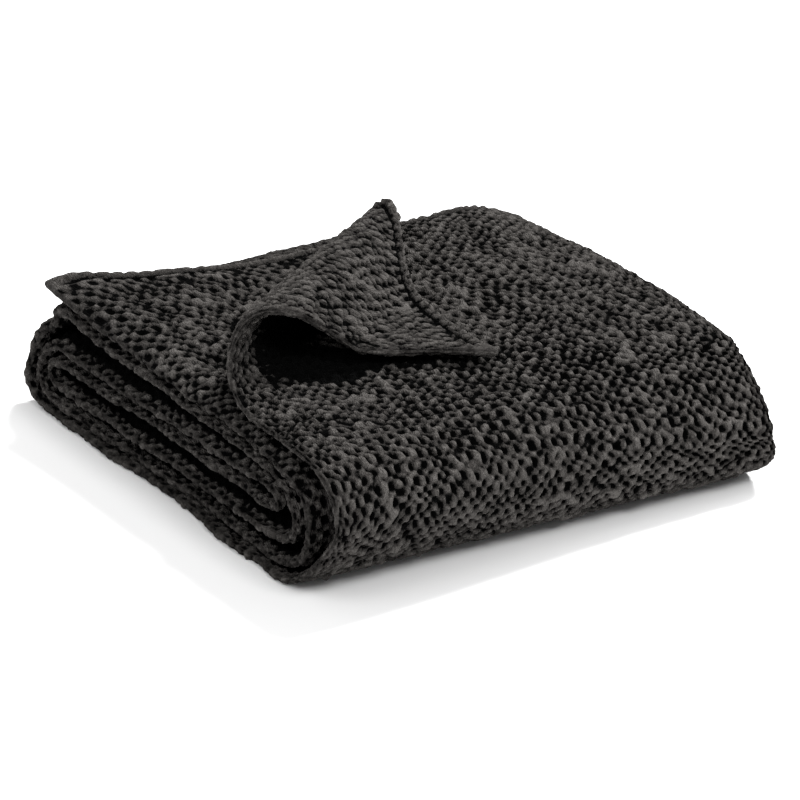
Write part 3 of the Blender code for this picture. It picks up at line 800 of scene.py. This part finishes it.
def cloth_piece(name, along_spans, outer_spans, inner_spans):
    """One stretch of the cloth, with the steps given along it and across each of its faces."""
    across, angle, side = loop_across(outer_spans, inner_spans)
    along = stepped(along_spans[0], along_spans[1:])
    across = np.broadcast_to(across, (len(along), len(across)))
    along = np.broadcast_to(along[:, None], across.shape)

    middle = cloth_middle(across, along)
    sideways = unit(cloth_middle(across + 0.5, along) - cloth_middle(across - 0.5, along))
    forwards = unit(cloth_middle(across, along + 0.5) - cloth_middle(across, along - 0.5))
    outwards = unit(np.cross(forwards, sideways))
    away = outwards * np.cos(angle)[:, None] + sideways * (side * np.sin(angle))[:, None]
    thickness, dyed_and_shaded, cord, knob = woven(across, along, angle, side)
    shaded = shade_of_corner(across, along, middle[..., 0], middle[..., 1])
    # painted shadow: where the turned-back corner keeps the light off, the top layer's outer face is
    # coloured darker
    dyed_and_shaded = dyed_and_shaded - SHADE_DEPTH * shaded * (1 - angle / np.pi) * (along < TOP_LENGTH)
    points = middle + away * thickness[..., None]
    points[..., 2] = np.maximum(points[..., 2], FLOOR_GAP)
    points = (points - np.array([MIDDLE_X, MIDDLE_Y, 0.0])) * MILLIMETRE

    mesh = bpy.data.meshes.new(name)
    rows, columns = across.shape
    faces = grid_faces(rows, columns)
    faces += end_faces(across[0], 0, True) + end_faces(across[0], (rows - 1) * columns, False)
    mesh.from_pydata(points.reshape(-1, 3), [], faces)
    weave = mesh.attributes.new("weave", "FLOAT_VECTOR", "POINT")
    face_shift = 0.5 * (angle / np.pi)
    kept = np.stack([cord + face_shift, knob + face_shift, dyed_and_shaded], axis=-1)
    weave.data.foreach_set("vector", kept.reshape(-1).astype(np.float32))
    mesh.shade_smooth()
    mesh.set_sharp_from_angle(angle=np.radians(SHARP_FROM))
    stretches.append((along_spans[0], along_spans[-1][0]))
    print(name, "has", triangles_in(mesh), "triangles")
    return linked(name, mesh)


# %% [markdown]
# ## The cloth in eight stretches
#
# One mesh of the whole cloth with fine steps everywhere would have four million triangles. So it is
# made in stretches that follow each other from the hem on top to the hem below it. Steps are 1.35
# to 2.4 mm where the cloth shows, and long inside the pack.

# %% Stretches of the top layer and the front
FAR = WIDTH - EDGE
FINE, MEDIUM = 1.35, 2.4
OVERLAP = 2.0  # each stretch starts inside the end of the one before it

turned_back = cloth_piece(
    "cloth_turned_back",
    [0.0, (200.0, FINE)],
    [(260.0, 3.0), (FAR, FINE)],
    [(330.0, FINE), (FAR, 6.0)],
)
top_face = cloth_piece(
    "cloth_top_face",
    [200.0 - OVERLAP, (400.0, FINE)],
    [(100.0, MEDIUM), (FAR, FINE)],
    [(110.0, FINE), (FAR, 7.0)],
)
front_fold = cloth_piece(
    "cloth_front_fold",
    [400.0 - OVERLAP, (690.0, FINE)],
    [(FAR, FINE)],
    [(30.0, MEDIUM), (FAR - 30.0, 14.0), (FAR, MEDIUM)],
)

# %% Stretches inside the pack
ENDS = [(26.0, 2.1), (WIDTH - 30.0, 16.0), (FAR, MEDIUM)]
back_start = LAYER_ENDS[1][1] - 60.0
back_end = LAYER_ENDS[2][0] + 60.0
under = cloth_piece("cloth_underside", [690.0 - OVERLAP, (back_start, 4.0)], ENDS, ENDS)
back_fold = cloth_piece("cloth_back_fold", [back_start - OVERLAP, (back_end, MEDIUM)], [(FAR, 2.2)], ENDS)
inner_a_end = LAYER_ENDS[4][0]
inner_b_end = LAYER_ENDS[7][0] - 75.0
inside_a = cloth_piece("cloth_inside_a", [back_end - OVERLAP, (inner_a_end, 3.0)], ENDS, ENDS)
inside_b = cloth_piece("cloth_inside_b", [inner_a_end - OVERLAP, (inner_b_end, 3.0)], ENDS, ENDS)
second = cloth_piece(
    "cloth_second_layer",
    [inner_b_end - OVERLAP, (LENGTH, 1.9)],
    ENDS,
    [(400.0, 1.9), (FAR, 4.0)],
)
cloth = [turned_back, top_face, front_fold, under, back_fold, inside_a, inside_b, second]
print(sum(triangles_in(piece.data) for piece in cloth), "triangles in all")

# %% [markdown]
# ## The yarn
#
# Charcoal cotton is matt, and only the pits between the cords look black, where little light gets
# in; that shade is painted into the colour as a nearly black pit colour, with painted shade on the
# foot of each cord too. A picture of the weave could be laid over the cloth, but the meshes carry
# the weave on their points, so the colour follows it exactly. The dye with its painted shade and the
# strands are node groups with named sockets, so that another yarn could use them.

# %% Helpers for shader nodes
def new_group(name, inputs, outputs):
    group = bpy.data.node_groups.new(name, "ShaderNodeTree")
    for label, kind, value in inputs:
        socket = group.interface.new_socket(label, in_out="INPUT", socket_type=kind)
        socket.default_value = value
    for label, kind in outputs:
        group.interface.new_socket(label, in_out="OUTPUT", socket_type=kind)
    return group, group.nodes.new("NodeGroupInput"), group.nodes.new("NodeGroupOutput")


def node(tree, kind, **settings):
    made = tree.nodes.new(kind)
    for name, value in settings.items():
        setattr(made, name, value)
    return made


def set_inputs(made, values):
    for name, value in values.items():
        made.inputs[name].default_value = value


def calculate(tree, operation, first, second=0.5, third=0.5):
    """One sum on up to three sockets or numbers."""
    made = node(tree, "ShaderNodeMath", operation=operation)
    for socket, value in zip(made.inputs, (first, second, third)):
        if isinstance(value, (int, float)):
            socket.default_value = value
        else:
            tree.links.new(value, socket)
    return made.outputs[0]


print("nodes can be made, set and calculated with")


# %% Helpers that shape a value or a colour
def rising(tree, value, low, high):
    """0 up to low, 1 from high on, and an even slope between."""
    made = node(tree, "ShaderNodeMapRange", interpolation_type="SMOOTHSTEP")
    tree.links.new(value, made.inputs["Value"])
    set_inputs(made, {"From Min": low, "From Max": high})
    return made.outputs["Result"]


def noise(tree, place, scale, detail=2.0):
    """Noise with about this many features in a metre."""
    made = node(tree, "ShaderNodeTexNoise")
    tree.links.new(place, made.inputs["Vector"])
    set_inputs(made, {"Scale": scale, "Detail": detail})
    return made.outputs["Fac"]


def mixed(tree, share, first, second):
    made = node(tree, "ShaderNodeMix", data_type="RGBA")
    tree.links.new(share, made.inputs["Factor"])
    for name, value in (("A", first), ("B", second)):
        socket = [s for s in made.inputs if s.name == name and s.type == "RGBA"][0]
        if isinstance(value, tuple):
            socket.default_value = value
        else:
            tree.links.new(value, socket)
    return [s for s in made.outputs if s.type == "RGBA"][0]


print("values can be ranged, and colours mixed")

# %% Dye and painted shade in the weave
dye_and_shade, dye_and_shade_in, dye_and_shade_out = new_group(
    "dye and painted shade in the weave",
    [
        ("Height", "NodeSocketFloat", 0.5),
        ("Position", "NodeSocketVector", (0.0, 0.0, 0.0)),
        # painted shade: the pits are coloured nearly black
        ("Pit", "NodeSocketColor", (0.0010, 0.0010, 0.0010, 1.0)),
        ("Cord", "NodeSocketColor", (0.0590, 0.0548, 0.0515, 1.0)),
        # the tops of the knobs are lighter, partly wear and partly painted highlight
        ("Worn and lit", "NodeSocketColor", (0.0984, 0.0922, 0.0870, 1.0)),
    ],
    [("Color", "NodeSocketColor")],
)
fray = noise(dye_and_shade, dye_and_shade_in.outputs["Position"], 380.0, 3.0)
frayed = calculate(dye_and_shade, "MULTIPLY_ADD", fray, 0.5, -0.25)
ragged_height = calculate(dye_and_shade, "ADD", dye_and_shade_in.outputs["Height"], frayed)
# painted shade: below this height the colour falls to the nearly black pit colour
from_pit = rising(dye_and_shade, ragged_height, 0.60, 0.69)
on_cord = rising(dye_and_shade, ragged_height, 0.64, 0.92)
# partly wear, partly painted highlight on the tops of the knobs
to_worn_and_lit = rising(dye_and_shade, ragged_height, 0.82, 1.04)
LOW_ON_THE_CORD = 0.38  # painted shade: how bright the foot of a cord is, against its top
between = node(dye_and_shade, "ShaderNodeVectorMath", operation="SCALE")
dye_and_shade.links.new(dye_and_shade_in.outputs["Cord"], between.inputs[0])
set_inputs(between, {"Scale": LOW_ON_THE_CORD})
yarn_color = mixed(dye_and_shade, on_cord, between.outputs[0], dye_and_shade_in.outputs["Cord"])
yarn_color = mixed(dye_and_shade, to_worn_and_lit, yarn_color, dye_and_shade_in.outputs["Worn and lit"])
colored = mixed(dye_and_shade, from_pit, dye_and_shade_in.outputs["Pit"], yarn_color)
patches = noise(dye_and_shade, dye_and_shade_in.outputs["Position"], 22.0)
flecks = noise(dye_and_shade, dye_and_shade_in.outputs["Position"], 520.0, 4.0)
faded = calculate(dye_and_shade, "MULTIPLY_ADD", patches, 0.2, 0.9)
flecked = calculate(dye_and_shade, "MULTIPLY_ADD", flecks, 0.8, 0.60)
both = calculate(dye_and_shade, "MULTIPLY", faded, flecked)
scaled = node(dye_and_shade, "ShaderNodeVectorMath", operation="SCALE")
dye_and_shade.links.new(colored, scaled.inputs[0])
dye_and_shade.links.new(both, scaled.inputs["Scale"])
dye_and_shade.links.new(scaled.outputs[0], dye_and_shade_out.inputs["Color"])
print("the dye group has", len(dye_and_shade.nodes), "nodes")

# %% [markdown]
# ## Strands in the cords
#
# Each cord is a bundle of thin strands that lean a little. As meshes they would need steps far
# below a millimetre. Their height is a wave over the weave's own grid instead, with noise for the
# fuzz of the cotton, and a bump turns it into shading.

# %% The strands
STRANDS_PER_CORD, LEAN, WANDERING = 6.0, 0.9, 3.0
STRAND_HEIGHT, LUMP_HEIGHT = 1.2, 4.5
strands, strands_in, strands_out = new_group(
    "strands in the cords",
    [
        ("Weave", "NodeSocketVector", (0.0, 0.0, 0.0)),
        ("Position", "NodeSocketVector", (0.0, 0.0, 0.0)),
    ],
    [("Height", "NodeSocketFloat")],
)
split = node(strands, "ShaderNodeSeparateXYZ")
strands.links.new(strands_in.outputs["Weave"], split.inputs[0])
wander = noise(strands, strands_in.outputs["Position"], 200.0)
wandered = calculate(strands, "MULTIPLY", wander, WANDERING)
phase = calculate(strands, "MULTIPLY_ADD", split.outputs["X"], STRANDS_PER_CORD, wandered)
lean = calculate(strands, "MULTIPLY_ADD", split.outputs["Y"], LEAN, phase)
wave = calculate(strands, "SINE", calculate(strands, "MULTIPLY", lean, 2 * np.pi))
ridge = calculate(strands, "MULTIPLY_ADD", wave, 0.5, 0.5)
lumps = noise(strands, strands_in.outputs["Position"], 420.0, 4.0)
ridges = calculate(strands, "MULTIPLY", ridge, STRAND_HEIGHT)
height_out = calculate(strands, "MULTIPLY_ADD", lumps, LUMP_HEIGHT, ridges)
strands.links.new(height_out, strands_out.inputs["Height"])
print("the strands group has", len(strands.nodes), "nodes")

# %% [markdown]
# ## Charcoal cotton
#
# Cotton scatters light in all directions and hardly shines. Velvet-like sheen would lighten the
# rims, so it is nearly off. The two groups are put together here in one rough material, and every
# stretch of the cloth wears it.

# %% The material
STRAND_RELIEF = 0.0009  # in metres, for a height of 1


def charcoal_cotton():
    material = bpy.data.materials.new("charcoal_cotton")
    material.use_nodes = True
    tree = material.node_tree
    shader = tree.nodes["Principled BSDF"]
    place_of = node(tree, "ShaderNodeTexCoord").outputs["Object"]
    weave = node(tree, "ShaderNodeAttribute", attribute_name="weave").outputs["Vector"]
    parts = node(tree, "ShaderNodeSeparateXYZ")
    tree.links.new(weave, parts.inputs[0])

    dyed_and_shaded = node(tree, "ShaderNodeGroup", node_tree=dye_and_shade)
    tree.links.new(parts.outputs["Z"], dyed_and_shaded.inputs["Height"])
    tree.links.new(place_of, dyed_and_shaded.inputs["Position"])
    tree.links.new(dyed_and_shaded.outputs["Color"], shader.inputs["Base Color"])

    stranded = node(tree, "ShaderNodeGroup", node_tree=strands)
    tree.links.new(weave, stranded.inputs["Weave"])
    tree.links.new(place_of, stranded.inputs["Position"])
    bump = node(tree, "ShaderNodeBump")
    set_inputs(bump, {"Strength": 1.0, "Distance": STRAND_RELIEF})
    tree.links.new(stranded.outputs["Height"], bump.inputs["Height"])
    tree.links.new(bump.outputs["Normal"], shader.inputs["Normal"])

    set_inputs(shader, {"Roughness": 0.95, "Specular IOR Level": 0.01})
    set_inputs(shader, {"Sheen Weight": 0.005, "Sheen Roughness": 0.6})
    return material


cotton = charcoal_cotton()
for piece in cloth:
    piece.data.materials.append(cotton)
print(cotton.name, "is on", len(cloth), "stretches of cloth")

# %% [markdown]
# ## The stretches in place of the imported solid
#
# All the stretches are one cloth. Together they stand for the imported model's only solid, which is
# hidden, and each is attached to the root body.

# %% Hide the imported solid and attach the stretches
for piece, (start, end) in zip(cloth, stretches):
    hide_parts("blanket")
    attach(piece, "root")
print("laid flat they are", round(sum(end - start for start, end in stretches)), "mm long in all")

# %% [markdown]
# ## Floor, light and camera
#
# A wide pale floor fades into a pale sky. A soft high lamp on the right models the relief and
# leaves the left end in half shade. Weaker ones in front and on the left keep the shade readable.

# %% Floor and sky
floor_mesh = bpy.data.meshes.new("floor")
FLOOR_SIZE = 30.0
corners = [(-1, -1), (1, -1), (1, 1), (-1, 1)]
floor_mesh.from_pydata([(FLOOR_SIZE * a, FLOOR_SIZE * b, 0.0) for a, b in corners], [], [(0, 1, 2, 3)])
floor = linked("floor", floor_mesh)
paper = bpy.data.materials.new("white_paper")
paper.use_nodes = True
matt_white = {"Base Color": (0.92, 0.92, 0.92, 1.0), "Roughness": 1.0, "Specular IOR Level": 0.0}
set_inputs(paper.node_tree.nodes["Principled BSDF"], matt_white)
floor.data.materials.append(paper)

world = bpy.data.worlds.new("pale_sky")
world.use_nodes = True
set_inputs(world.node_tree.nodes["Background"], {"Color": (1.0, 1.0, 1.0, 1.0), "Strength": 0.46})
bpy.context.scene.world = world
bpy.context.scene.view_settings.view_transform = "Standard"
print("floor and sky are ready")

# %% [markdown]
# The camera could be aimed by hand, but its angle, the scale and one point that the photo shows
# settle it. It stands 20 m off with a long lens, as the photograph shows no perspective.

# %% Camera
CAMERA_TURN, CAMERA_RISE = 30.8, 24.8  # degrees to the left of the front, and above the floor
MM_PER_PIXEL, IMAGE_SIZE, SENSOR = 0.9, 800, 36.0
ORIGIN_PIXEL = (276.0, 573.0)  # where the left end of the front fold leaves the floor
DISTANCE = 20.0  # in metres

turn, rise = np.radians(CAMERA_TURN), np.radians(CAMERA_RISE)
right = Vector((np.cos(turn), -np.sin(turn), 0.0))
forward = Vector((np.sin(turn) * np.cos(rise), np.cos(turn) * np.cos(rise), -np.sin(rise)))
upward = right.cross(forward)
MID_HEIGHT = 80.0
middle_of_pack = Vector((MIDDLE_X, MIDDLE_Y, MID_HEIGHT))
middle_pixel_x = ORIGIN_PIXEL[0] + middle_of_pack.dot(right) / MM_PER_PIXEL
middle_pixel_y = ORIGIN_PIXEL[1] - middle_of_pack.dot(upward) / MM_PER_PIXEL
aim = Vector((0.0, 0.0, MID_HEIGHT))
aim += right * (IMAGE_SIZE / 2 - middle_pixel_x) * MM_PER_PIXEL
aim += upward * (middle_pixel_y - IMAGE_SIZE / 2) * MM_PER_PIXEL
aim *= MILLIMETRE
camera = linked("camera", bpy.data.cameras.new("camera"))
camera.location = aim - forward * DISTANCE
turned = Matrix((right, upward, -forward)).transposed()
camera.rotation_euler = turned.to_euler()
camera.data.sensor_width = SENSOR
camera.data.lens = SENSOR * DISTANCE / (IMAGE_SIZE * MM_PER_PIXEL * MILLIMETRE)
camera.data.clip_end = 100.0
bpy.context.scene.camera = camera
print("lens", round(camera.data.lens), "mm")


# %% Lamps
Lamp = namedtuple("Lamp", "name shines_from strength softness")  # softness in degrees
LAMPS = (
    Lamp("key", (0.55, 0.18, 0.81), 4.5, 14.0),
    Lamp("front", (0.08, -0.70, 0.71), 1.8, 18.0),
    Lamp("fill", (-0.60, -0.30, 0.74), 1.1, 40.0),
)
for lamp in LAMPS:
    made = linked(lamp.name, bpy.data.lights.new(lamp.name, "SUN"))
    made.data.energy = lamp.strength
    made.data.angle = np.radians(lamp.softness)
    made.rotation_euler = (-Vector(lamp.shines_from)).to_track_quat("-Z", "Y").to_euler()
print(len(LAMPS), "lamps")
